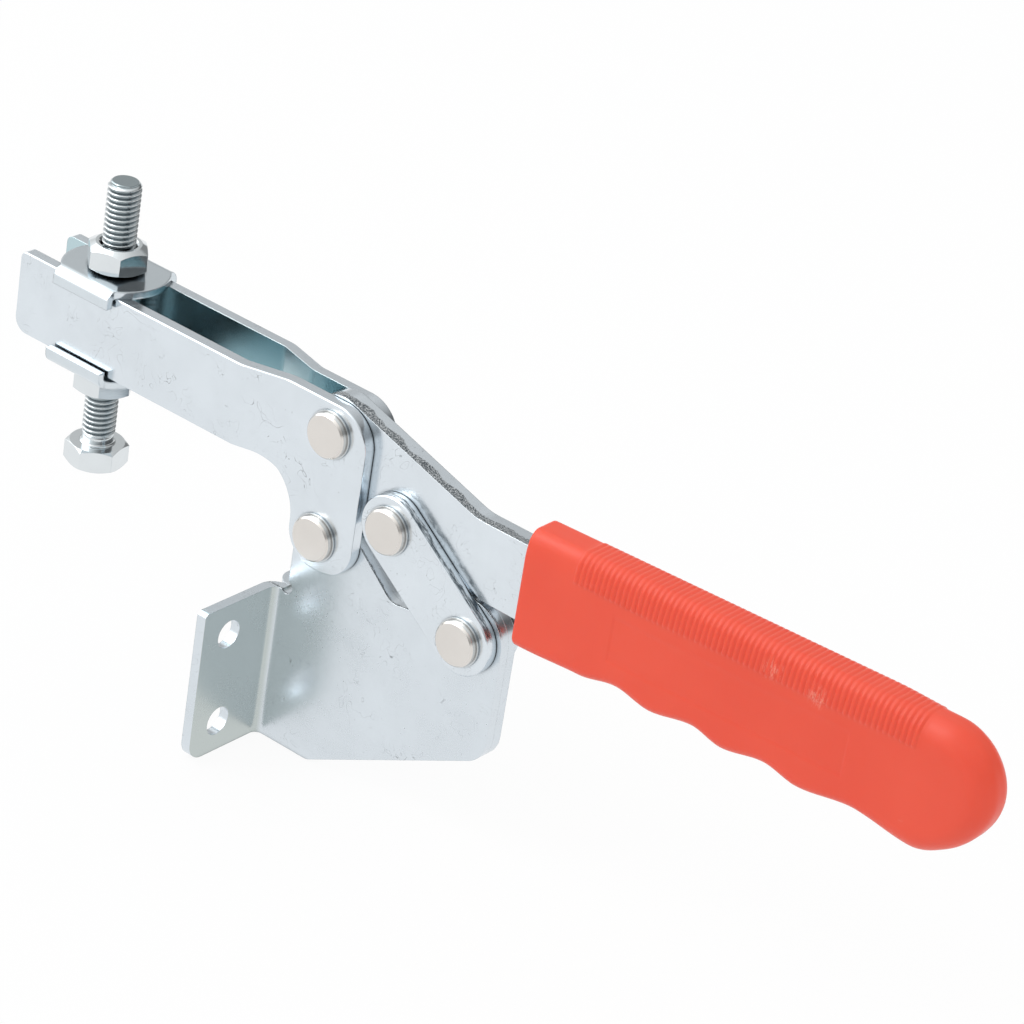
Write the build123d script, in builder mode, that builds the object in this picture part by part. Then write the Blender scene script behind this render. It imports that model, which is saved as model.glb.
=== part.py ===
"""Horizontal-handle toggle clamp with a flanged base and an open-bar arm.

Millimetres. The origin is the centre of the flange's four-hole pattern on its mounting
face. +X runs from the clamping spindle back to the handle and +Z is up. The clamp is
mirrored about the XZ plane: left is -Y, right is +Y. The arm is drawn closed.
"""
import os
from math import acos, atan2, cos, degrees, hypot, pi, sin, tan

from build123d import *

os.makedirs("parts", exist_ok=True)

# ---- fits ------------------------------------------------------------------------------
slide_fit = 0.15            # between plates that swing past each other
bush_fit = 0.05             # radial, round each pivot bush and rivet shank
screw_fit = 0.10            # radial, round the spindle in nuts and washers
skirt_fit = 0.60            # between a washer's skirts and the arm's outer faces
grip_fit = 0.10             # all round the bar inside the moulded grip
rim_fit = 0.02              # under each bush rim

# ---- linkage pivots (X, Z) -------------------------------------------------------------
arm_pivot = (14.4, 38.3)        # arm on base
bar_pivot = (14.6, 64.2)        # handle on arm
link_top = (34.1, 49.1)         # link on handle
link_low = (57.4, 32.1)         # link on base

# ---- base: two mirrored stampings, back to back ----------------------------------------
base_sheet = 2.5
flange_half_width = 25.3
flange_half_height = 19.3
flange_bend = 2.0               # inside radius
flange_low_corner, flange_top_corner = 4.5, 1.2
hole_spacing_y, hole_spacing_z = 33.2, 22.8
hole_radius = 3.5
neck_x = 6.2                    # front edge of the neck below the arm pivot
neck_rise = 2.7                 # foot of that edge above the flange's top
notch_reach = 1.0               # relief at the top of the bend, behind the neck's edge
crown_radius = 7.7              # plate over the arm pivot
saddle = (35.4, 30.2)           # low corner of the top edge, between the pivots
rear_boss = 9.3                 # plate round the link's lower pivot
heel_x = 18.2                   # where the bottom edge turns up to the rear
rear_corner_z = 5.0
saddle_radius, heel_radius, rear_radius = 4.0, 4.0, 7.0
boss_root_radius = 2.5

# ---- arm: two mirrored straps, set apart in front for the spindle ----------------------
arm_sheet = 3.0
arm_gap = 12.0
arm_tip = -78.6
arm_low, arm_high = 51.7, 71.7
leg_radius, leg_back = 8.0, 24.8    # round the arm pivot; its rear edge
joggle_start, joggle_end, joggle_bend = -10.3, 1.0, 6.0
tip_low_radius, tip_high_radius = 3.6, 1.8
knee_radius, heel_back_radius, back_radius = 12.5, 8.2, 9.0
arm_edge = 0.4                  # rolled edge of the blank on its outer side

# ---- links -----------------------------------------------------------------------------
link_radius = 8.0
link_edge = 0.3

# ---- rivets and bushes -----------------------------------------------------------------
shank_radius = 3.5
bush_wall = 1.2
rim_radius, rim_height = 5.7, 0.5
head_radius, head_height, head_edge = 5.3, 1.6, 0.45

# ---- handle ----------------------------------------------------------------------------
bar_low, bar_high = 42.1, 60.5
bar_end = 152.0
bar_boss = 8.2
bar_shoulder_x, shoulder_radius = 54.6, 14.0   # where the sloping top edge levels out
bar_heel_x, bar_heel_radius = 59.0, 8.0        # and the bottom edge begins
bar_arch, arch_radius = (50.0, 47.0), 7.0      # arch over the base's rear boss
slot_reach, slot_radius = (4.9, -3.5), 5.0
grip_front, grip_low = 70.6, 37.4
grip_width, grip_edge = 11.5, 4.2
grip_high, grip_slope = 65.9, 0.0375
butt_high_x, butt_end = 175.3, (190.3, 55.9)   # top of the round butt; its rearmost point
finger_crests = (88.5, 107.6, 126.6, 146.2, 170.6)
finger_hollows = (98.4, 118.7, 137.3, 159.8)
crest_rise, crest_slope, groove_depth = 0.5, 0.025, 1.65
rib_count, rib_first, rib_last = 63, 84.7, 171.1
rib_rise, rib_root = 0.24, 0.02
rib_height = 6.9                # from the grip's top to the ribs' foot on its sides
panel_centre, panel_size, panel_depth = (126.0, 52.4), (61.0, 10.9), 0.15

# ---- spindle ---------------------------------------------------------------------------
spindle_x = -57.4
spindle_radius, spindle_length = 4.0, 66.2
head_low, hex_head = 23.7, 5.3
hex_flats, nut_height = 13.0, 6.5
nut_corner, head_corner = 1.0, 0.6      # height of the corners turned off each hexagon
upper_turn, lower_turn, head_turn = 12.0, 32.0, 35.0
lead_in, point_chamfer = 0.4, 0.8
washer_sheet, washer_radius = 1.8, 12.6
washer_bend, washer_play = 1.0, 0.5
skirt_height = 4.2              # washer face to the skirt's edge
skirt_length = 17.0             # along the arm
washer_slack = 1.0              # the lower washer hangs this far below the arm

# ---- derived ---------------------------------------------------------------------------
rear_inner = base_sheet + slide_fit
rear_outer = rear_inner + arm_sheet
front_inner = arm_gap / 2
front_outer = front_inner + arm_sheet
bar_width = 2 * base_sheet
bush_radius = shank_radius + bush_fit + bush_wall
hex_radius = hex_flats / 2 / cos(pi / 6)
upper_seat = arm_high + washer_sheet
lower_seat = arm_low - washer_slack - washer_sheet
base_rear = link_low[0] + rear_boss
bend_x = base_sheet + flange_bend
neck_foot = flange_half_height + neck_rise
leg_front, leg_foot = arm_pivot[0] - leg_radius, arm_pivot[1] - leg_radius
rim_seat = rear_outer + rim_fit
head_seat = rim_seat + rim_height
shank_hole = shank_radius + bush_fit
bush_hole = bush_radius + bush_fit
corner_slope = tan(pi / 6)
link_angle = degrees(atan2(link_low[1] - link_top[1], link_low[0] - link_top[0]))


def grip_top(x):
    return grip_high + grip_slope * (x - grip_front)


def grip_under(x):
    return grip_low + crest_rise + crest_slope * (x - grip_front)


def touch(centre, radius, point, side):
    """Where the line from a point meets a circle, on its left (1) or right (-1) side."""
    dx, dz = point[0] - centre[0], point[1] - centre[1]
    angle = atan2(dz, dx) + side * acos(radius / hypot(dx, dz))
    return centre[0] + radius * cos(angle), centre[1] + radius * sin(angle)


def rim_of(side):
    """The outline round one side of a sheet, without its holes."""
    edges = [e for face in side for e in face.outer_wire().edges()]
    return [e for e in edges if sum(e.is_same(other) for other in edges) == 1]


# ========================================================================================
# Base stampings
# ========================================================================================
with BuildPart() as left_base_plate:
    # side plate, from the bend to the rear
    crown_centre = (neck_x + crown_radius, arm_pivot[1])
    with BuildSketch(Plane.XZ) as side_plate:
        with BuildLine():
            neck = Line((neck_x, neck_foot), (neck_x, arm_pivot[1]))
            crown = TangentArc(neck @ 1, touch(crown_centre, crown_radius, saddle, 1),
                               tangent=neck % 1)
            boss = CenterArc(link_low, rear_boss, 0, 180)
            Polyline(crown @ 1, saddle, boss @ 1)
            Polyline(boss @ 0, (base_rear, rear_corner_z), (heel_x, -flange_half_height),
                     (bend_x, -flange_half_height), (bend_x, flange_half_height))
            ThreePointArc((bend_x, flange_half_height),
                          (neck_x + notch_reach, flange_half_height), neck @ 0)
        make_face()
        for corner, radius in (((base_rear, rear_corner_z), rear_radius),
                               (saddle, saddle_radius),
                               (boss @ 1, boss_root_radius),
                               ((heel_x, -flange_half_height), heel_radius)):
            fillet(side_plate.vertices().sort_by_distance(corner)[0], radius)
        with Locations(arm_pivot, link_low):
            Circle(shank_hole, mode=Mode.SUBTRACT)
    extrude(amount=base_sheet)
    # flange, bent outwards
    with BuildSketch(Plane.XY.offset(-flange_half_height)) as bend:
        with BuildLine():
            Polyline((0, 0), (0, -flange_half_width), (base_sheet, -flange_half_width),
                     (base_sheet, -base_sheet), (bend_x, -base_sheet), (bend_x, 0), close=True)
        make_face()
        fillet(bend.vertices().sort_by_distance((base_sheet, -base_sheet))[0], flange_bend)
        fillet(bend.vertices().sort_by_distance((0, 0))[0], 0.98 * bend_x)
    extrude(amount=2 * flange_half_height)
    with BuildSketch(Plane.YZ):
        with GridLocations(hole_spacing_y, hole_spacing_z, 2, 2):
            Circle(hole_radius)
    extrude(amount=base_sheet, mode=Mode.SUBTRACT)
    outer_corners = left_base_plate.edges().filter_by(Axis.X).group_by(Axis.Y)[0].sort_by(Axis.Z)
    fillet(outer_corners[0], flange_low_corner)
    fillet(left_base_plate.edges().filter_by(Axis.X).group_by(Axis.Y)[0].sort_by(Axis.Z)[-1],
           flange_top_corner)

with BuildPart() as right_base_plate:
    mirror(left_base_plate.part, about=Plane.XZ)

# ========================================================================================
# Arm straps
# ========================================================================================
with BuildPart() as left_arm_plate:
    front_mid = (front_inner + front_outer) / 2
    rear_mid = (rear_inner + rear_outer) / 2
    # the joggled strap seen from above
    with BuildSketch(Plane.XY.offset(leg_foot)):
        with BuildLine():
            FilletPolyline((arm_tip, -front_mid), (joggle_start, -front_mid),
                           (joggle_end, -rear_mid), (leg_back, -rear_mid), radius=joggle_bend)
        trace(line_width=arm_sheet)
    extrude(amount=arm_high - leg_foot)
    # its outline seen from the side
    with BuildSketch(Plane.XZ) as strap:
        with BuildLine():
            Polyline((arm_tip, arm_low), (leg_front, arm_low), (leg_front, leg_foot),
                     (leg_back, leg_foot), (leg_back, arm_high), (arm_tip, arm_high), close=True)
        make_face()
        for corner, radius in (((arm_tip, arm_low), tip_low_radius),
                               ((arm_tip, arm_high), tip_high_radius),
                               ((leg_front, arm_low), knee_radius),
                               ((leg_front, leg_foot), leg_radius),
                               ((leg_back, leg_foot), heel_back_radius),
                               ((leg_back, arm_high), back_radius)):
            fillet(strap.vertices().sort_by_distance(corner)[0], radius)
        with Locations(arm_pivot, bar_pivot):
            Circle(bush_hole, mode=Mode.SUBTRACT)
    extrude(amount=front_outer, mode=Mode.INTERSECT)
    fillet(rim_of(left_arm_plate.faces().filter_by(lambda f: f.normal_at().Y < -0.5)), arm_edge)

with BuildPart() as right_arm_plate:
    mirror(left_arm_plate.part, about=Plane.XZ)

# ========================================================================================
# Links
# ========================================================================================
link_middle = ((link_top[0] + link_low[0]) / 2, (link_top[1] + link_low[1]) / 2)
link_pitch = ((link_low[0] - link_top[0]) ** 2 + (link_low[1] - link_top[1]) ** 2) ** 0.5

with BuildPart() as left_link:
    with BuildSketch(Plane.XZ.offset(rear_inner)):
        with Locations(link_middle):
            SlotCenterToCenter(link_pitch, 2 * link_radius, rotation=link_angle)
        with Locations(link_top, link_low):
            Circle(bush_hole, mode=Mode.SUBTRACT)
    extrude(amount=arm_sheet)
    chamfer(left_link.faces().sort_by(Axis.Y)[0].outer_wire().edges(), link_edge)

with BuildPart() as right_link:
    mirror(left_link.part, about=Plane.XZ)

# ========================================================================================
# Pivot bushes and rivets
# ========================================================================================
rivets = {}
bushes = {}
for name, pivot in (("arm_pivot", arm_pivot), ("bar_pivot", bar_pivot),
                    ("link_top", link_top), ("link_low", link_low)):
    with BuildPart() as left_bush:
        with BuildSketch(Plane.XZ.offset(rear_inner)):
            with Locations(pivot):
                Circle(bush_radius)
                Circle(shank_hole, mode=Mode.SUBTRACT)
        extrude(amount=rim_seat - rear_inner)
        with BuildSketch(Plane.XZ.offset(rim_seat)):
            with Locations(pivot):
                Circle(rim_radius)
                Circle(shank_hole, mode=Mode.SUBTRACT)
        extrude(amount=rim_height)
    with BuildPart() as right_bush:
        mirror(left_bush.part, about=Plane.XZ)
    bushes[f"left_{name}_bush"] = left_bush
    bushes[f"right_{name}_bush"] = right_bush

    with BuildPart() as rivet:
        with BuildSketch(Plane.XZ):
            with Locations(pivot):
                Circle(shank_radius)
        extrude(amount=head_seat, both=True)
        for side in (1, -1):
            with BuildSketch(Plane.XZ.offset(side * head_seat)):
                with Locations(pivot):
                    Circle(head_radius)
            extrude(amount=side * head_height)
        chamfer(rivet.faces().sort_by(Axis.Y)[0].edges(), head_edge)
        chamfer(rivet.faces().sort_by(Axis.Y)[-1].edges(), head_edge)
    rivets[f"{name}_rivet"] = rivet

# ========================================================================================
# Handle bar and moulded grip
# ========================================================================================
shoulder = (bar_shoulder_x, bar_high)

with BuildPart() as handle_bar:
    with BuildSketch(Plane.XZ) as bar_profile:
        # bosses round the two pivots
        with Locations(bar_pivot):
            Circle(bar_boss)
        with Locations(link_top):
            Circle(link_radius)
        make_hull()
        with BuildLine():
            Polyline(touch(bar_pivot, bar_boss, shoulder, 1), shoulder, (bar_end, bar_high),
                     (bar_end, bar_low), (bar_heel_x, bar_low), bar_arch,
                     touch(link_top, link_radius, bar_arch, -1), link_top, close=True)
        make_face()
        for corner, radius in ((shoulder, shoulder_radius), (bar_arch, arch_radius),
                               ((bar_heel_x, bar_low), bar_heel_radius)):
            fillet(bar_profile.vertices().sort_by_distance(corner)[0], radius)
        # pivot holes: the front one is long, for the travel of the arm's rivet
        with Locations(link_top):
            Circle(shank_hole, mode=Mode.SUBTRACT)
        with BuildSketch(mode=Mode.SUBTRACT):
            with Locations(bar_pivot, (bar_pivot[0] + slot_reach[0], bar_pivot[1] + slot_reach[1])):
                Circle(slot_radius)
            make_hull()
    extrude(amount=bar_width / 2, both=True)

rib_pitch = (rib_last - rib_first) / (rib_count - 1)
rib_thickness = rib_pitch * hypot(1, grip_slope)
rib_plane = Plane((0, 0, grip_top(0)), x_dir=(0, 1, 0), z_dir=(1, 0, grip_slope))

with BuildPart() as grip_rib:
    # one rib over the top, falling off to both sides of its crest
    for step, rise in ((-0.5, rib_root), (0, rib_rise), (0.5, rib_root)):
        with BuildSketch(rib_plane.offset(step * rib_thickness)) as rib:
            with Locations((0, rise)):
                Rectangle(grip_width + 2 * rise, rib_height + rise,
                          align=(Align.CENTER, Align.MAX))
            fillet(rib.vertices().group_by(Axis.Y)[-1], grip_edge + rise)
    loft(ruled=True)

with BuildPart() as handle_grip:
    # side outline with its finger grooves
    with BuildSketch(Plane.XZ):
        with BuildLine():
            grooves = [(grip_front, grip_low), (finger_crests[0], grip_under(finger_crests[0]))]
            for crest, hollow in zip(finger_crests[1:], finger_hollows):
                grooves += [(hollow, grip_under(hollow) + groove_depth),
                            (crest, grip_under(crest))]
            top_end = (butt_high_x, grip_top(butt_high_x))
            butt = ThreePointArc(grooves[-1], butt_end, top_end)
            Spline(grooves, tangents=[(1, crest_slope), butt % 0])
            Polyline(top_end, (grip_front, grip_high), (grip_front, grip_low))
        make_face()
    extrude(amount=grip_width / 2, both=True)
    long_edges = (handle_grip.faces().sort_by(Axis.Y)[0].edges()
                  + handle_grip.faces().sort_by(Axis.Y)[-1].edges())
    front_edges = handle_grip.faces().sort_by(Axis.X)[0].edges()
    fillet([e for e in long_edges if not any(e.is_same(f) for f in front_edges)], grip_edge)
    # ribs side by side
    rib_line = [rib_first + i * rib_pitch for i in range(rib_count)]
    with Locations([(x, 0, grip_slope * x) for x in rib_line]):
        add(grip_rib.part)
    # shallow label panel in either side
    for side in (1, -1):
        with BuildSketch(Plane.XZ.offset(side * grip_width / 2)):
            with Locations(panel_centre):
                Rectangle(*panel_size, rotation=degrees(grip_slope))
        extrude(amount=-side * panel_depth, mode=Mode.SUBTRACT)
    # socket for the bar
    with BuildSketch(Plane.YZ.offset(grip_front)):
        with Locations((0, (bar_low + bar_high) / 2)):
            Rectangle(bar_width + 2 * grip_fit, bar_high - bar_low + 2 * grip_fit)
    extrude(amount=bar_end + grip_fit - grip_front, mode=Mode.SUBTRACT)

# ========================================================================================
# Spindle: flanged washers, nuts and hexagon-head screw
# ========================================================================================
with BuildPart() as upper_flanged_washer:
    skirt_inner = front_outer + skirt_fit
    skirt_outer = skirt_inner + washer_sheet
    # the bent sheet seen along the arm
    with BuildSketch(Plane.YZ.offset(spindle_x - washer_radius)) as sheet:
        with Locations((0, upper_seat)):
            Rectangle(2 * skirt_outer, skirt_height, align=(Align.CENTER, Align.MAX))
        with Locations((0, upper_seat - washer_sheet)):
            Rectangle(2 * skirt_inner, skirt_height, align=(Align.CENTER, Align.MAX),
                      mode=Mode.SUBTRACT)
        fillet(sheet.vertices().group_by(Axis.Y)[-1], washer_sheet + washer_bend)
        fillet(sheet.vertices().group_by(Axis.Y)[-2], washer_bend)
    extrude(amount=2 * washer_radius)
    # its round outline seen from above, with the square ends of the skirts
    with BuildSketch(Plane.XY.offset(upper_seat)):
        with Locations((spindle_x, 0)):
            Circle(washer_radius)
            Rectangle(skirt_length, 2 * skirt_outer)
            Circle(spindle_radius + washer_play, mode=Mode.SUBTRACT)
    extrude(amount=-skirt_height, mode=Mode.INTERSECT)

with BuildPart() as lower_flanged_washer:
    mirror(upper_flanged_washer.part, about=Plane.XY.offset((upper_seat + lower_seat) / 2))

spindle_axis = Axis((spindle_x, 0, 0), (0, 0, 1))
spindle_side = Plane((spindle_x, 0, 0), x_dir=(1, 0, 0), z_dir=(0, -1, 0))

hexagons = {}
for name, low, height, turn, corner in (
    ("upper_nut", upper_seat, nut_height, upper_turn, nut_corner),
    ("lower_nut", lower_seat - nut_height, nut_height, lower_turn, nut_corner),
    ("spindle_bolt", head_low, hex_head, head_turn, head_corner),
):
    with BuildPart() as hexagon:
        with BuildSketch(Plane.XY.offset(low)):
            with Locations((spindle_x, 0)):
                RegularPolygon(hex_radius, 6, rotation=turn)
        extrude(amount=height)
        # corners turned off below and above
        with BuildSketch(spindle_side):
            with BuildLine():
                turned = hex_radius - corner / corner_slope
                Polyline((0, low), (turned, low), (hex_radius, low + corner),
                         (hex_radius, low + height - corner), (turned, low + height),
                         (0, low + height), close=True)
            make_face()
        revolve(axis=spindle_axis, mode=Mode.INTERSECT)
        if name == "spindle_bolt":
            with BuildSketch(Plane.XY.offset(low + height)):
                with Locations((spindle_x, 0)):
                    Circle(spindle_radius)
            extrude(amount=spindle_length)
            chamfer(hexagon.faces().sort_by(Axis.Z)[-1].edges(), point_chamfer)
        else:
            with BuildSketch(Plane.XY.offset(low)):
                with Locations((spindle_x, 0)):
                    Circle(spindle_radius + screw_fit)
            extrude(amount=height, mode=Mode.SUBTRACT)
            bore = hexagon.faces().filter_by(GeomType.CYLINDER).sort_by(SortBy.AREA)[-1]
            chamfer(bore.edges().filter_by(GeomType.CIRCLE), lead_in)
    hexagons[name] = hexagon

# ========================================================================================
# Export
# ========================================================================================
parts = {
    "left_base_plate": left_base_plate,
    "right_base_plate": right_base_plate,
    "left_arm_plate": left_arm_plate,
    "right_arm_plate": right_arm_plate,
    "left_link": left_link,
    "right_link": right_link,
    "handle_bar": handle_bar,
    "handle_grip": handle_grip,
    "upper_flanged_washer": upper_flanged_washer,
    "lower_flanged_washer": lower_flanged_washer,
    **hexagons,
    **bushes,
    **rivets,
}
for label, builder in parts.items():
    builder.part.label = label
    export_step(builder.part, f"parts/{label}.step")
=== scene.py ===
from math import cos, pi, radians, sin, sqrt, tan

import bmesh
import bpy
from mathutils import Matrix, Vector


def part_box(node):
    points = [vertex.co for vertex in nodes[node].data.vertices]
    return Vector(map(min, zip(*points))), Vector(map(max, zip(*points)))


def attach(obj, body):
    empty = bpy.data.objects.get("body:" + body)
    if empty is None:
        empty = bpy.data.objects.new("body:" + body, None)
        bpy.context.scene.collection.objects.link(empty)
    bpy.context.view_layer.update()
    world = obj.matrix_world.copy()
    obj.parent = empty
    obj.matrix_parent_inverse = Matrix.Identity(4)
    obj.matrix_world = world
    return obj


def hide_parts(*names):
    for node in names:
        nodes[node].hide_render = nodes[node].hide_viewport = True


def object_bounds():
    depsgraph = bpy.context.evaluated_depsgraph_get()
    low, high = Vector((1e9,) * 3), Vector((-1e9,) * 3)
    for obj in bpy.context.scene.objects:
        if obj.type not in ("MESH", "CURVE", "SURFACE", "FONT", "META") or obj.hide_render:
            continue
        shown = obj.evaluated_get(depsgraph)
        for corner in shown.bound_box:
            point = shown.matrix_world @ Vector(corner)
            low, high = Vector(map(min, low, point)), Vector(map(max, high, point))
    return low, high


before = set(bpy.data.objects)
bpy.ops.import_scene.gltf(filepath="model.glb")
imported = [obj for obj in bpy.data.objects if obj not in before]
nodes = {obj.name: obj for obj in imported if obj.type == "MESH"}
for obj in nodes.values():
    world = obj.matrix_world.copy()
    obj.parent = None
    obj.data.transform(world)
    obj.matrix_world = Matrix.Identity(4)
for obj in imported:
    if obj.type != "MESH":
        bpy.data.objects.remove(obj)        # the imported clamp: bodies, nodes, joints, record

MM = 0.001
cad_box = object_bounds()
scene = bpy.context.scene


# ---- node graphs -----------------------------------------------------------------------
class Graph:
    """A node tree, with short ways to add and join nodes. A value is a node's output."""

    def __init__(self, tree):
        self.tree = tree
        tree.nodes.clear()

    def add(self, kind, **settings):
        node = self.tree.nodes.new(kind)
        for key, value in settings.items():
            setattr(node, key, value)
        return node

    def feed(self, socket, value):
        """Gives a socket a number, a colour or another node's output."""
        if isinstance(value, bpy.types.NodeSocket):
            self.tree.links.new(value, socket)
        elif isinstance(value, tuple) and socket.type == "RGBA":
            socket.default_value = (*value[:3], 1)
        else:
            socket.default_value = value

    def put(self, node, **values):
        for key, value in values.items():
            self.feed(node.inputs[key.replace("_", " ")], value)
        return node

    def maths(self, operation, *values):
        node = self.add("ShaderNodeMath", operation=operation)
        for socket, value in zip(node.inputs, values):
            self.feed(socket, value)
        return node.outputs[0]

    def ramp(self, value, low, high, to_low=0.0, to_high=1.0):
        """Maps one range of a value on another and stops at its ends."""
        node = self.add("ShaderNodeMapRange")
        for key, number in (("From Min", low), ("From Max", high),
                            ("To Min", to_low), ("To Max", to_high)):
            node.inputs[key].default_value = number
        self.feed(node.inputs["Value"], value)
        return node.outputs[0]

    def along(self, vector, direction):
        """How far a vector goes along a direction."""
        node = self.add("ShaderNodeVectorMath", operation="DOT_PRODUCT")
        self.feed(node.inputs[0], vector)
        node.inputs[1].default_value = direction
        return node.outputs["Value"]

    def blend(self, factor, a, b):
        """Mixes two colours."""
        node = self.add("ShaderNodeMix", data_type="RGBA")
        for index, value in ((0, factor), (6, a), (7, b)):
            self.feed(node.inputs[index], value)
        return node.outputs[2]

    def choose(self, factor, a, b):
        """Mixes two shaders."""
        node = self.add("ShaderNodeMixShader")
        for socket, value in zip(node.inputs, (factor, a, b)):
            self.feed(socket, value)
        return node.outputs[0]


class Finish(Graph):
    """A material with one principled surface, on coordinates fixed to the piece."""

    def __init__(self, name):
        self.material = bpy.data.materials.new(name)
        self.material.use_nodes = True
        super().__init__(self.material.node_tree)
        self.surface = self.add("ShaderNodeBsdfPrincipled")
        self.output = self.add("ShaderNodeOutputMaterial")
        self.feed(self.output.inputs["Surface"], self.surface.outputs["BSDF"])
        place = self.add("ShaderNodeTexCoord")
        self.spot = place.outputs["Object"]
        self.facing = place.outputs["Normal"]

    def noise(self, size, detail=3.0, rough=0.55, stretch=(1, 1, 1), distort=0.0):
        """Noise whose features are about size millimetres wide, stretched along the axes."""
        mapping = self.add("ShaderNodeMapping")
        mapping.inputs["Scale"].default_value = [1 / (size * MM * s) for s in stretch]
        self.feed(mapping.inputs["Vector"], self.spot)
        node = self.put(self.add("ShaderNodeTexNoise"), Scale=1.0, Detail=detail,
                        Roughness=rough, Distortion=distort)
        self.feed(node.inputs["Vector"], mapping.outputs[0])
        return node.outputs["Fac"]

    def relief(self, height, depth, strength, radius):
        """Gives the surface a relief in millimetres, over edges softened to a radius."""
        bevel = self.put(self.add("ShaderNodeBevel", samples=6), Radius=radius * MM)
        bump = self.put(self.add("ShaderNodeBump"), Strength=strength, Distance=depth * MM,
                        Height=height, Normal=bevel.outputs[0])
        self.put(self.surface, Normal=bump.outputs[0])


# ---- sizes of the screw, in millimetres ------------------------------------------------
PITCH, MAJOR, MINOR = 1.25, 3.95, 3.12      # the thread's pitch and its radii
CREST, FLANK = 0.08, 0.29                   # half a crest and one flank, as shares of the pitch
TIP_RADIUS = MINOR - 0.1                    # at the screw's upper end, where a cone cuts it
NECK, NECK_RADIUS = 1.9, 3.62               # plain length above the head
FILLET = 0.6                                # where the neck runs into the head
FLATS = 13.0                                # across the head and the nuts
HEAD_HEIGHT = 5.3
HEAD_CORNER, NUT_CORNER = 0.6, 1.25         # height of the corners turned off
CHAMFER_SLOPE, FLAT_MARGIN = tan(radians(30)), 0.05
BORE, LEAD_IN = 4.1, 0.5                    # a nut's hole by its radius, and its mouth
HEAD_TURN, UPPER_TURN, LOWER_TURN = radians(42.5), radians(17.5), radians(5.0)

bolt_low, bolt_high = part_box("spindle_bolt")
axis_x = (bolt_low.x + bolt_high.x) / 2 / MM
screw_low, screw_high = bolt_low.z / MM, bolt_high.z / MM
shank_low = screw_low + HEAD_HEIGHT


# ---- materials -------------------------------------------------------------------------
ZINC, BASE_ZINC, WASHER_ZINC = (0.73, 0.785, 0.83), (0.70, 0.755, 0.80), (0.68, 0.74, 0.78)
STEEL, RIVET_STEEL, BUSH_STEEL = (0.74, 0.78, 0.80), (0.745, 0.715, 0.68), (0.76, 0.79, 0.81)
CONTACT_SHADE, CONTACT_REACH = (0.05, 0.07, 0.08), 1.2        # painted shade where pieces meet, and its width
REAR_SHADE = (0.53, 0.58, 0.57)                         # painted shade on the flange's rear face
INNER_SHADE = (0.50, 0.64, 0.68)                        # painted shade between the straps of the arm
ROOT_SHADE, ROOT_FADE = (0.17, 0.24, 0.26), 0.5         # painted shade in the thread's roots, and how far up
TORN_DARK, TORN_BRIGHT = (0.09, 0.11, 0.125), (0.85, 0.88, 0.90)
RED_DEEP, RED_PALE, RED_WORN = (0.775, 0.078, 0.038), (0.80, 0.087, 0.044), (0.86, 0.26, 0.19)
FLANGE_BACK, FLANGE_CLEAR = 6.0, 9.0                    # X where the painted shade on the rear face fades out
SCUFFS = ((136.0, -5.4, 63.5), (147.5, -5.6, 62.8))     # rubbed places on the grip's ribs
SCUFF_CORE, SCUFF_REACH = 1.2, 3.2                      # radius rubbed most, and its end


def plated(name, tint, rough, spread, edge, hairs=0.0, extra=None):
    """Bright plated steel: faint cloud, fine grain, a few dark hairs, painted shade where pieces
    meet, softened edges.
    """
    s = Finish(name)
    s.put(s.surface, Metallic=1.0)
    cloud = s.noise(11.0, 4.0, 0.6)
    grain = s.noise(0.9, 3.0, 0.6)
    shade = tuple(0.955 * c for c in tint)
    colour = s.blend(s.ramp(cloud, 0.35, 0.65), shade, tint)
    tone = s.ramp(cloud, 0.3, 0.7, rough + spread, rough - spread)
    tone = s.maths("ADD", tone, s.ramp(grain, 0.35, 0.7, -0.5 * spread, 0.5 * spread))
    height = grain
    if hairs:
        # thin lines where a swirled noise crosses its middle, in sparse patches, and specks
        line = s.noise(6.0, 1.0, 0.4, distort=2.4)
        ridge = s.maths("ABSOLUTE", s.maths("SUBTRACT", line, 0.5))
        sparse = s.ramp(s.noise(9.0, 1.0, 0.5), 0.50, 0.60, 0.0, hairs)
        mark = s.maths("MULTIPLY", s.ramp(ridge, 0.0, 0.007, 1.0, 0.0), sparse)
        speck = s.ramp(s.noise(0.9, 1.0, 0.4), 0.77, 0.83, 0.0, 0.5 * hairs)
        mark = s.maths("MAXIMUM", mark, speck)
        colour = s.blend(mark, colour, tuple(0.3 * c for c in tint))
        height = s.maths("SUBTRACT", grain, mark)
    if extra:
        colour, tone, height = extra(s, colour, tone, height)
    # painted shade: the colour darkens where ambient occlusion finds another piece close by
    close = s.put(s.add("ShaderNodeAmbientOcclusion", samples=6), Distance=CONTACT_REACH * MM)
    colour = s.blend(s.ramp(close.outputs["AO"], 0.25, 0.85, 0.75, 0.0), colour, CONTACT_SHADE)
    s.put(s.surface, Base_Color=colour, Roughness=tone)
    s.relief(height, 0.02, 0.2, edge)
    return s.material


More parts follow.
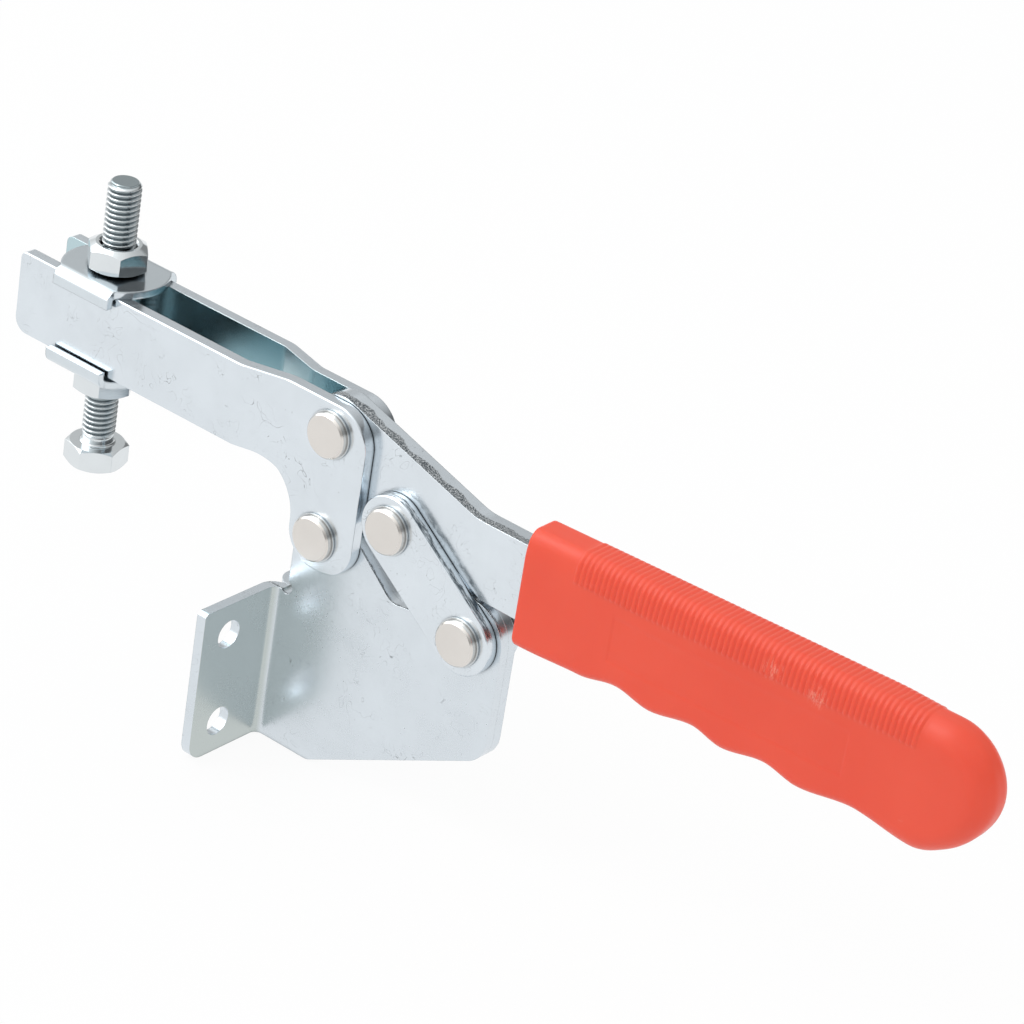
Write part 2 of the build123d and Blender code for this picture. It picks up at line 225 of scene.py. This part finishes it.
def torn_edge(near, far, mirrored=False, run=(1, 1, 1)):
    """Torn zone that the press leaves on a cut edge that faces up.

    It lies between two depths along -Y, on both sides of the clamp if mirrored, with its far
    border ragged, and run stretches its speckle.
    """
    def add_to(s, colour, tone, height):
        cut = s.ramp(s.maths("ABSOLUTE", s.along(s.facing, (0, 1, 0))), 0.4, 0.55, 1.0, 0.0)
        depth = s.along(s.spot, (0, -1 / MM, 0))
        if mirrored:
            depth = s.maths("ABSOLUTE", depth)
        wave = s.noise(9.0, 2.0, 0.6, stretch=(1, 4, 1))
        ragged = s.noise(0.8, 3.0, 0.7)
        edge = s.maths("ADD", s.ramp(wave, 0.35, 0.65, far, far + 0.5 * (near - far)),
                       s.ramp(ragged, 0.3, 0.7, -0.3, 0.3))
        inside = s.ramp(s.maths("SUBTRACT", depth, edge), -0.1, 0.2)
        cut = s.maths("MULTIPLY", cut, s.ramp(s.along(s.facing, (0, 0, 1)), 0.35, 0.55))
        torn = s.maths("MULTIPLY", cut, s.maths("MULTIPLY", inside,
                                                s.ramp(depth, near, near + 0.1, 1.0, 0.0)))
        streak = s.noise(0.36, 4.0, 0.85, stretch=run)
        speckle = s.blend(s.ramp(streak, 0.47, 0.58), TORN_DARK, TORN_BRIGHT)
        colour = s.blend(torn, colour, speckle)
        tone = s.maths("ADD", tone, s.maths("MULTIPLY", torn, 0.12))
        height = s.maths("ADD", height, s.maths("MULTIPLY", torn, s.maths("MULTIPLY", streak, 5.0)))
        return colour, tone, height
    return add_to


def flanged(s, colour, tone, height):
    """Painted shade on the flange's rear face and in its bend; thin torn zone on the edges."""
    rear = s.ramp(s.along(s.facing, (1, 0, 0)), 0.25, 0.75)
    back = s.ramp(s.along(s.spot, (1 / MM, 0, 0)), FLANGE_BACK, FLANGE_CLEAR, 1.0, 0.0)
    colour = s.blend(s.maths("MULTIPLY", rear, back), colour, REAR_SHADE)
    return torn_edge(2.45, 1.7)(s, colour, tone, height)


def shade_between_straps(s, colour, tone, height):
    """Painted shade where two straps of the arm face each other."""
    side = s.maths("MULTIPLY", s.along(s.spot, (0, 1 / MM, 0)), s.along(s.facing, (0, 1, 0)))
    inner = s.ramp(side, -1.0, -0.5, 1.0, 0.0)
    return s.blend(inner, colour, INNER_SHADE), tone, height


def turned_head(s, colour, tone, height):
    """Rivet heads polished round their sides and matt on their faces."""
    side = s.ramp(s.maths("ABSOLUTE", s.along(s.facing, (0, 1, 0))), 0.55, 0.8, 1.0, 0.0)
    return colour, s.maths("SUBTRACT", tone, s.maths("MULTIPLY", side, 0.18)), height


def shade_in_thread_roots(s, colour, tone, height):
    """Painted shade down in the roots of the thread."""
    ring = s.add("ShaderNodeVectorMath", operation="MULTIPLY_ADD")
    s.feed(ring.inputs[0], s.spot)
    ring.inputs[1].default_value = (1, 1, 0)
    ring.inputs[2].default_value = (-axis_x * MM, 0, 0)
    reach = s.add("ShaderNodeVectorMath", operation="LENGTH")
    s.feed(reach.inputs[0], ring.outputs[0])
    deep = s.ramp(reach.outputs["Value"], MINOR * MM, (MINOR + ROOT_FADE) * MM, 0.65, 0.0)
    return s.blend(deep, colour, ROOT_SHADE), tone, height


def moulded(name):
    """Satin moulded plastic: even colour, orange-peel skin, a few rubbed places."""
    s = Finish(name)
    cloud = s.noise(24.0, 3.0, 0.5)
    peel = s.noise(0.35, 3.0, 0.6)
    rub = s.noise(3.5, 4.0, 0.7, stretch=(2.5, 1, 1))
    colour = s.blend(s.ramp(cloud, 0.35, 0.65), RED_DEEP, RED_PALE)
    scuff = s.noise(0.9, 4.0, 0.8, stretch=(0.5, 1, 2))
    worn = s.ramp(rub, 0.68, 0.80, 0.0, 0.25)
    for spot in SCUFFS:
        gap = s.add("ShaderNodeVectorMath", operation="DISTANCE")
        s.feed(gap.inputs[0], s.spot)
        gap.inputs[1].default_value = Vector(spot) * MM
        near = s.ramp(gap.outputs["Value"], SCUFF_CORE * MM, SCUFF_REACH * MM, 1.0, 0.0)
        worn = s.maths("MAXIMUM", worn, s.maths("MULTIPLY", near, s.ramp(scuff, 0.50, 0.60)))
    colour = s.blend(worn, colour, RED_WORN)
    tone = s.maths("ADD", s.ramp(cloud, 0.3, 0.7, 0.34, 0.41), s.ramp(rub, 0.6, 0.8, 0.0, 0.1))
    s.put(s.surface, Base_Color=colour, Roughness=tone, IOR=1.43, Subsurface_Weight=0.4,
          Subsurface_Radius=(1.0, 0.3, 0.12), Subsurface_Scale=1.5 * MM)
    s.relief(peel, 0.03, 0.16, 0.3)
    return s.material


link_edge = torn_edge(5.2, 3.2, mirrored=True, run=(9, 0.8, 9))
stamped = {"spread": 0.03, "edge": 0.22, "hairs": 0.7}
arm_zinc = plated("bright_zinc", ZINC, 0.21, extra=shade_between_straps, **stamped)
link_zinc = plated("link_zinc", ZINC, 0.21, extra=link_edge, **stamped)
bar_zinc = plated("bar_zinc", ZINC, 0.21, extra=torn_edge(2.45, -0.5), **stamped)
base_zinc = plated("base_zinc", BASE_ZINC, 0.26, extra=flanged, **stamped)
washer_zinc = plated("washer_zinc", WASHER_ZINC, 0.18, 0.04, 0.6)
bright = plated("bright_hardware", STEEL, 0.11, 0.03, 0.15)
threaded = plated("thread", STEEL, 0.13, 0.03, 0.05, extra=shade_in_thread_roots)
rivet = plated("rivet_steel", RIVET_STEEL, 0.30, 0.02, 0.15, extra=turned_head)
bush = plated("bush_steel", BUSH_STEEL, 0.18, 0.04, 0.12)
red = moulded("red_grip")

finishes = (("grip", red), ("rivet", rivet), ("bush", bush), ("nut", bright), ("bolt", bright),
            ("washer", washer_zinc), ("arm_plate", arm_zinc), ("link", link_zinc),
            ("base_plate", base_zinc), ("bar", bar_zinc))
for name, node in nodes.items():
    node.data.materials.clear()
    node.data.materials.append(next(finish for end, finish in finishes if name.endswith(end)))


# ---- pieces built from rings of points -------------------------------------------------
def bridge(build, near, far):
    """A band of faces between two closed rings that have as many points."""
    for i in range(len(near)):
        build.faces.new((near[i - 1], near[i], far[i], far[i - 1]))


def new_piece(name, build, material):
    """The object of a finished build, with its normals turned outwards."""
    bmesh.ops.recalc_face_normals(build, faces=build.faces)
    mesh = bpy.data.meshes.new(name)
    build.to_mesh(mesh)
    build.free()
    mesh.materials.append(material)
    piece = bpy.data.objects.new(name, mesh)
    scene.collection.objects.link(piece)
    return piece


def skin(name, replaced, body, material, rings, smooth=True, bored=False):
    """A closed piece through rings of points in millimetres, with a hole through it or ends."""
    build = bmesh.new()
    loops = [[build.verts.new(Vector(point) * MM) for point in ring] for ring in rings]
    pairs = list(zip(loops, loops[1:]))
    if bored:
        pairs.append((loops[-1], loops[0]))
    else:
        build.faces.new(loops[-1])
        build.faces.new(loops[0][::-1])
    for below, above in pairs:
        bridge(build, below, above)
    for face in build.faces:
        face.smooth = smooth and len(face.verts) == 4
    piece = new_piece(name, build, material)
    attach(piece, body)
    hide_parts(replaced)


# ---- spindle: rolled M8 thread, its head and nuts ---------------------------------------
THREAD_COLUMNS, THREAD_ROWS = 56, 14     # round the screw, and in one pitch
HEXAGON_COLUMNS = 72                     # round the head and the nuts


def around(radii, angles, heights):
    """A ring of points about the screw's axis."""
    return [(axis_x + r * cos(a), r * sin(a), z) for r, a, z in zip(radii, angles, heights)]


def thread_radius(angle, z):
    """The screw's radius in one direction and height, with its neck, fillet and tip."""
    turn = (z / PITCH - angle / (2 * pi)) % 1.0
    slope = min(1.0, max(0.0, (abs(turn - 0.5) - CREST) / FLANK))
    cut = MAJOR - (MAJOR - MINOR) * slope
    above_head = z - shank_low
    fade = min(1.0, max(0.0, (above_head - NECK) / PITCH))
    radius = NECK_RADIUS + (cut - NECK_RADIUS) * fade
    radius += FILLET * max(0.0, 1 - above_head / FILLET) ** 2
    return min(radius, TIP_RADIUS + screw_high - z)


def shank_rings():
    """Rings of the threaded shank, from the head up to the tip."""
    angles = [2 * pi * i / THREAD_COLUMNS for i in range(THREAD_COLUMNS)]
    rows = round((screw_high - shank_low) / PITCH * THREAD_ROWS)
    for row in range(rows + 1):
        z = shank_low + (screw_high - shank_low) * row / rows
        yield around([thread_radius(a, z) for a in angles], angles, [z] * THREAD_COLUMNS)


def hexagon_rings(low, height, turn, corner, bore=0.0):
    """Hexagon with its corners turned off above and below, and a bore if it is a nut."""
    turned = min(FLATS / 2 / cos(pi / 6) - corner / CHAMFER_SLOPE, FLATS / 2 - FLAT_MARGIN)
    angles = [turn + 2 * pi * i / HEXAGON_COLUMNS for i in range(HEXAGON_COLUMNS)]
    side = [FLATS / 2 / cos((a - turn) % (pi / 3) - pi / 6) for a in angles]
    drop = [CHAMFER_SLOPE * (r - turned) for r in side]
    level = [low] * HEXAGON_COLUMNS
    high = [low + height] * HEXAGON_COLUMNS
    plain = [turned] * HEXAGON_COLUMNS
    rings = [around(plain, angles, level),
             around(side, angles, [low + d for d in drop]),
             around(side, angles, [low + height - d for d in drop]),
             around(plain, angles, high)]
    if bore:
        mouth = [bore + LEAD_IN] * HEXAGON_COLUMNS
        hole = [bore] * HEXAGON_COLUMNS
        rings += [around(mouth, angles, high),
                  around(hole, angles, [low + height - LEAD_IN] * HEXAGON_COLUMNS),
                  around(hole, angles, [low + LEAD_IN] * HEXAGON_COLUMNS),
                  around(mouth, angles, level)]
    return rings


skin("threaded_shank", "spindle_bolt", "spindle", threaded, shank_rings())
skin("hexagon_head", "spindle_bolt", "spindle", bright,
     hexagon_rings(screw_low, HEAD_HEIGHT, HEAD_TURN, HEAD_CORNER), smooth=False)
for name, turn in (("upper_nut", UPPER_TURN), ("lower_nut", LOWER_TURN)):
    low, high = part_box(name)
    rings = hexagon_rings(low.z / MM, (high.z - low.z) / MM, turn, NUT_CORNER, BORE)
    skin(name + "_turned", name, "carriage", bright, rings,
         smooth=False, bored=True)

# ---- grip: rounded section along its length, then swept round the butt -------------------
# outline in X and Z, close to the solid's: a straight top, finger hollows below
GRIP_FRONT, GRIP_LOW, GRIP_HIGH, GRIP_SLOPE = 70.6, 37.4, 65.9, 0.0375
HALF_WIDTH = 5.75
LONG_EDGE, BUTT_EDGE, FRONT_EDGE = 2.6, 4.4, 0.8        # radii of the rounded edges
FRONT_SHARES = (0.0, 0.04, 0.15, 0.35, 0.65)            # stations over the front edge
LEAN, LEAN_FULL = 0.26, pi / 3          # share by which the sides lean in at the top
CREST_RISE, CREST_SLOPE, GROOVE = 0.5, 0.025, 1.65
CRESTS = (88.5, 107.6, 126.6, 146.2)
HOLLOWS = (98.4, 118.7, 137.3, 159.8)
MIDDLE, MIDDLE_RUN = 51.5, 15.0         # height of a section's middle; it moves to the hub's
# the butt: a point that the section turns round, and its reach by angle in degrees
HUB = (174.0, 55.0)
BUTT = ((-90, 15.6), (-60, 14.7), (-30, 14.9), (10, 16.1), (42, 16.1), (68, 15.5), (90, 14.78))
# ribs: number and ends in X; height, length down the sides, run-out; share lost on the top
RIB_COUNT, RIB_FIRST, RIB_LAST = 63, 84.7, 171.1
RIB_PITCH = (RIB_LAST - RIB_FIRST) / (RIB_COUNT - 1)
RIB_RISE, RIB_DEPTH, RIB_FADE = 0.42, 6.9, 0.35
RIB_EASE, EASE_FROM, EASE_TO = 0.55, 2.0, 0.2           # and below the top, where that sets in
# sunk panel on each side
PANEL_CENTRE, PANEL_SIZE, PANEL_DEPTH, PANEL_SOFT = (126.0, 52.4), (61.0, 10.9), 0.14, 0.4
SIDE_SKIN = 0.2                         # what lies this close to the full width is a side
# socket for the bar
BAR_LOW, BAR_HIGH, BAR_HALF, BAR_END, SOCKET_FIT = 42.1, 60.5, 2.5, 152.0, 0.1
# points over a section, and stations along the grip
SIDE_POINTS, EDGE_POINTS, TOP_POINTS = 26, 8, 3
RIB_STEPS, PLAIN_STEP, LAST_STEP, BUTT_STEPS = 6, 0.9, 0.1, 48


def step(value, low, high):
    """Rises smoothly from 0 to 1 between two values."""
    t = min(1.0, max(0.0, (value - low) / (high - low)))
    return t * t * (3 - 2 * t)


def grip_top(x):
    """Height of the grip's top."""
    return GRIP_HIGH + GRIP_SLOPE * (x - GRIP_FRONT)


def grip_under(x):
    """Height of its under side, over crests and finger hollows by turns."""
    crest = GRIP_LOW + CREST_RISE + CREST_SLOPE * (x - GRIP_FRONT)
    if x < CRESTS[0]:
        return GRIP_LOW + (crest - GRIP_LOW) * step(x, GRIP_FRONT, CRESTS[0])
    if x >= HOLLOWS[-1]:
        crest = GRIP_LOW + CREST_RISE + CREST_SLOPE * (HOLLOWS[-1] - GRIP_FRONT)
        low = HUB[1] - BUTT[0][1]
        return low + (crest + GROOVE - low) * (1 - step(x, HOLLOWS[-1], HUB[0]))
    stops = sorted(CRESTS + HOLLOWS)
    i = max(i for i, stop in enumerate(stops) if stop <= x)
    share = step(x, stops[i], stops[i + 1])
    return crest + GROOVE * (share if i % 2 == 0 else 1 - share)


def butt_reach(angle):
    """From the hub to the butt's outline in one direction, on a smooth curve."""
    turns = [radians(turn) for turn, reach in BUTT]
    reaches = [reach for turn, reach in BUTT]
    i = max(i for i in range(len(BUTT) - 1) if turns[i] <= angle + 1e-9)
    slopes = [0.0] + [(reaches[k + 1] - reaches[k - 1]) / (turns[k + 1] - turns[k - 1])
                      for k in range(1, len(BUTT) - 1)] + [0.0]
    gap = turns[i + 1] - turns[i]
    t = (angle - turns[i]) / gap
    return (reaches[i] * (1 + 2 * t) * (1 - t) ** 2 + reaches[i + 1] * t * t * (3 - 2 * t)
            + gap * (slopes[i] * t * (1 - t) ** 2 - slopes[i + 1] * t * t * (1 - t)))


def half_section(hub, angle, reach, edge, lean=0.0):
    """Points from one side over the grip's edge to the other side, each with its normal."""
    side = reach - edge
    flat = HALF_WIDTH - edge
    half = [(-HALF_WIDTH, side * i / SIDE_POINTS, -1.0, 0.0) for i in range(SIDE_POINTS)]
    for i in range(EDGE_POINTS + 1):
        a = pi / 2 * i / EDGE_POINTS
        half.append((-flat - edge * cos(a), side + edge * sin(a), -cos(a), sin(a)))
    top = [(-flat + 2 * flat * i / TOP_POINTS, reach, 0.0, 1.0) for i in range(1, TOP_POINTS)]
    half += top + [(-y, t, -across, out) for y, t, across, out in reversed(half)]
    return [((hub[0] + t * cos(angle),
              y * (1 - lean * max(0.0, (t - reach) / RIB_DEPTH + 1) ** 2),
              hub[1] + t * sin(angle)),
             (out * cos(angle), across, out * sin(angle))) for y, t, across, out in half]


def ribbed(x):
    """Whether a place along the grip lies among the ribs."""
    return RIB_FIRST - RIB_PITCH < x < RIB_LAST + RIB_PITCH


def relief(x, y, z):
    """How far ribs, sunk panel and rounded front edge move a point of the surface outwards."""
    height = 0.0
    if ribbed(x):
        wave = 1 - (0.5 - 0.5 * cos(2 * pi * (x - RIB_FIRST) / RIB_PITCH)) ** 2
        wave *= (step(x, RIB_FIRST - RIB_PITCH, RIB_FIRST)
                 * (1 - step(x, RIB_LAST, RIB_LAST + RIB_PITCH)))
        foot = grip_top(x) - RIB_DEPTH
        height += RIB_RISE * wave * step(z, foot, foot + RIB_FADE)
        height *= 1 - RIB_EASE * step(z, grip_top(x) - EASE_FROM, grip_top(x) - EASE_TO)
    if abs(y) > HALF_WIDTH - SIDE_SKIN:
        off_x = abs(x - PANEL_CENTRE[0]) - PANEL_SIZE[0] / 2
        off_z = abs(z - PANEL_CENTRE[1] - GRIP_SLOPE * (x - PANEL_CENTRE[0])) - PANEL_SIZE[1] / 2
        height -= PANEL_DEPTH * (1 - step(max(off_x, off_z), -PANEL_SOFT, 0.0))
    ahead = FRONT_EDGE - min(FRONT_EDGE, x - GRIP_FRONT)
    return height - FRONT_EDGE + sqrt(FRONT_EDGE ** 2 - ahead ** 2)


def raised(points):
    """The points with the relief put on, each along its normal."""
    placed = []
    for point, normal in points:
        height = relief(*point)
        placed.append(tuple(p + n * height for p, n in zip(point, normal)))
    return placed


def grip_stations():
    """Places along the grip: close together where the ribs are."""
    for share in FRONT_SHARES:
        yield GRIP_FRONT + FRONT_EDGE * share
    x = GRIP_FRONT + FRONT_EDGE
    while x < HUB[0] - LAST_STEP:
        yield x
        x += RIB_PITCH / RIB_STEPS if ribbed(x) else PLAIN_STEP
    yield HUB[0]


def sleeve_loops(build):
    """Rings from the grip's front to the hub, and how many points lie over the top of each."""
    loops = []
    for x in grip_stations():
        edge = LONG_EDGE + (BUTT_EDGE - LONG_EDGE) * step(x, HOLLOWS[-1], HUB[0])
        middle = HUB[1] + (MIDDLE - HUB[1]) * (1 - step(x, HUB[0] - MIDDLE_RUN, HUB[0]))
        over = raised(half_section((x, middle), pi / 2, grip_top(x) - middle, edge, LEAN))
        under = raised(half_section((x, middle), -pi / 2, middle - grip_under(x), edge))
        # over the top and back below, without the two ends that both halves share
        loops.append([build.verts.new(Vector(p) * MM) for p in over + under[-2:0:-1]])
    return loops, len(over)


def socket_loops(build, front):
    """Rings at the inner end of the bar's socket and at its mouth in the grip's front."""
    mouth, depth = [], []
    bar_middle = (BAR_LOW + BAR_HIGH) / 2
    half_y, half_z = BAR_HALF + SOCKET_FIT, (BAR_HIGH - BAR_LOW) / 2 + SOCKET_FIT
    for vert in front:
        y, z = vert.co.y / MM, vert.co.z / MM - bar_middle
        share = min(half_y / max(abs(y), 1e-6), half_z / max(abs(z), 1e-6))
        for ring, x in ((mouth, GRIP_FRONT), (depth, BAR_END + SOCKET_FIT)):
            ring.append(build.verts.new(Vector((x, y * share, z * share + bar_middle)) * MM))
    return [depth, mouth]


def butt_fans(build, last, size):
    """Rows of points from the under side of the last ring, round the hub, to its top."""
    over, under = last[:size], [last[0]] + last[:size - 2:-1]
    fans = [under]
    for i in range(1, BUTT_STEPS):
        angle = -pi / 2 + pi * i / BUTT_STEPS
        lean = LEAN * step(angle, -pi / 2, LEAN_FULL)
        points = half_section(HUB, angle, butt_reach(angle), BUTT_EDGE, lean)[1:-1]
        fans.append([last[0]] + [build.verts.new(Vector(p) * MM) for p, normal in points]
                    + [last[size - 1]])
    return fans + [over]


def build_grip():
    """Grip from its socket's inner end and its front to the hub, and the butt round the hub."""
    build = bmesh.new()
    loops, size = sleeve_loops(build)
    loops = socket_loops(build, loops[0]) + loops
    for near, far in zip(loops, loops[1:]):
        bridge(build, near, far)
    build.faces.new(loops[0])
    fans = butt_fans(build, loops[-1], size)
    for below, above in zip(fans, fans[1:]):
        for i in range(size - 1):
            corners = (below[i], below[i + 1], above[i + 1], above[i])
            build.faces.new(list(dict.fromkeys(corners)))
    for face in build.faces:
        face.smooth = True
    piece = new_piece("moulded_grip", build, red)
    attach(piece, "handle")
    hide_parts("handle_grip")


build_grip()

# ---- floor and studio, in metres --------------------------------------------------------
FLOOR_HALF, FLOOR_GAP = 3.0, 0.0002
FLOOR_WHITE = 0.93                  # share of plain white where the floor is seen
BRIGHT_SIDE = (-0.62, -0.45, 0.45)  # towards the studio's bright side
bottom = cad_box[0][2] - FLOOR_GAP


def shown(s):
    """1 where a ray shows the background: to the camera, in metal and through glass."""
    path = s.add("ShaderNodeLightPath").outputs
    seen = s.maths("MAXIMUM", path["Is Camera Ray"], path["Is Glossy Ray"])
    return s.maths("MAXIMUM", seen, path["Is Transmission Ray"])


def floor_material():
    """Pale paper, plain white where it is seen, which keeps a little of the shadow."""
    s = Finish("studio_floor")
    s.put(s.surface, Base_Color=(0.84, 0.845, 0.85), Roughness=0.9)
    white = s.put(s.add("ShaderNodeEmission"), Color=(1, 1, 1), Strength=1.0)
    seen = s.maths("MULTIPLY", shown(s), FLOOR_WHITE)
    s.put(s.output, Surface=s.choose(seen, s.surface.outputs[0], white.outputs[0]))
    return s.material


corners = [(x * FLOOR_HALF, y * FLOOR_HALF, bottom)
           for x, y in ((-1, -1), (1, -1), (1, 1), (-1, 1))]
floor_mesh = bpy.data.meshes.new("studio_floor")
floor_mesh.from_pydata(corners, [], [(0, 1, 2, 3)])
floor_mesh.materials.append(floor_material())
floor = bpy.data.objects.new("studio_floor", floor_mesh)
scene.collection.objects.link(floor)


def studio_world():
    """White at the horizon, a graded studio with soft boxes above it; even on matt surfaces."""
    world = bpy.data.worlds.new("studio")
    world.use_nodes = True
    s = Graph(world.node_tree)
    white = s.put(s.add("ShaderNodeBackground"), Color=(1, 1, 1), Strength=1.0)
    ray = s.add("ShaderNodeTexCoord").outputs["Generated"]
    share = s.ramp(s.along(ray, BRIGHT_SIDE), -0.45, 0.85)
    level = s.ramp(s.maths("POWER", share, 1.5), 0.0, 1.0, 0.12, 1.35)
    # a broad soft box over the front left, with a clear edge
    box = s.maths("MULTIPLY", s.ramp(s.along(ray, (0, -1, 0)), -0.22, -0.12),
                  s.ramp(s.along(ray, (-1, 0, 0)), 0.15, 0.30))
    box = s.maths("MULTIPLY", box, s.ramp(s.along(ray, (0, 0, 1)), 0.02, 0.10, 0.0, 0.9))
    level = s.maths("ADD", level, box)
    # and one overhead
    level = s.maths("ADD", level, s.ramp(s.along(ray, (0, 0, 1)), 0.50, 0.62, 0.0, 0.25))
    studio = s.put(s.add("ShaderNodeBackground"), Color=(0.99, 1.0, 1.0), Strength=level)
    above = s.ramp(s.along(ray, (0, 0, 1)), 0.06, 0.16)
    sky = s.choose(s.maths("MULTIPLY", shown(s), above), white.outputs[0], studio.outputs[0])
    s.put(s.add("ShaderNodeOutputWorld"), Surface=sky)
    return world


scene.world = studio_world()

# ---- key lamp, in metres ----------------------------------------------------------------
KEY_PLACE, KEY_AIM = Vector((-0.60, -0.60, 0.97)), Vector((0.055, 0.0, 0.03))
KEY_SIZE, KEY_POWER = 0.55, 3.2

key_light = bpy.data.lights.new("key", "AREA")
key_light.shape = "SQUARE"
key_light.size = KEY_SIZE
key_light.energy = KEY_POWER
key = bpy.data.objects.new("key", key_light)
key.location = KEY_PLACE
key.rotation_euler = (KEY_AIM - KEY_PLACE).to_track_quat("-Z", "Y").to_euler()
scene.collection.objects.link(key)

# ---- camera: azimuth 35, 28 above the horizon, rolled a little ---------------------------
AZIMUTH, ELEVATION, ROLL = radians(34.983), radians(28.025), radians(9.393)
TARGET = Vector((58.671, 4.335, 61.686)) * MM
DISTANCE = 883.1 * MM
FOCAL_PIXELS, FRAME_PIXELS, SENSOR, CLIP_START = 4114.3, 1024, 36.0, 0.01

back = Vector((sin(AZIMUTH) * cos(ELEVATION), -cos(AZIMUTH) * cos(ELEVATION), sin(ELEVATION)))
level = Vector((cos(AZIMUTH), sin(AZIMUTH), 0.0))
upright = back.cross(level)
right = level * cos(ROLL) + upright * sin(ROLL)
up = upright * cos(ROLL) - level * sin(ROLL)
camera_data = bpy.data.cameras.new("camera")
camera_data.sensor_width = SENSOR
camera_data.lens = SENSOR * FOCAL_PIXELS / FRAME_PIXELS
camera_data.clip_start = CLIP_START
camera = bpy.data.objects.new("camera", camera_data)
camera.matrix_world = (Matrix.Translation(TARGET + back * DISTANCE)
                       @ Matrix((right, up, back)).transposed().to_4x4())
scene.collection.objects.link(camera)
scene.camera = camera
scene.view_settings.view_transform = "Standard"
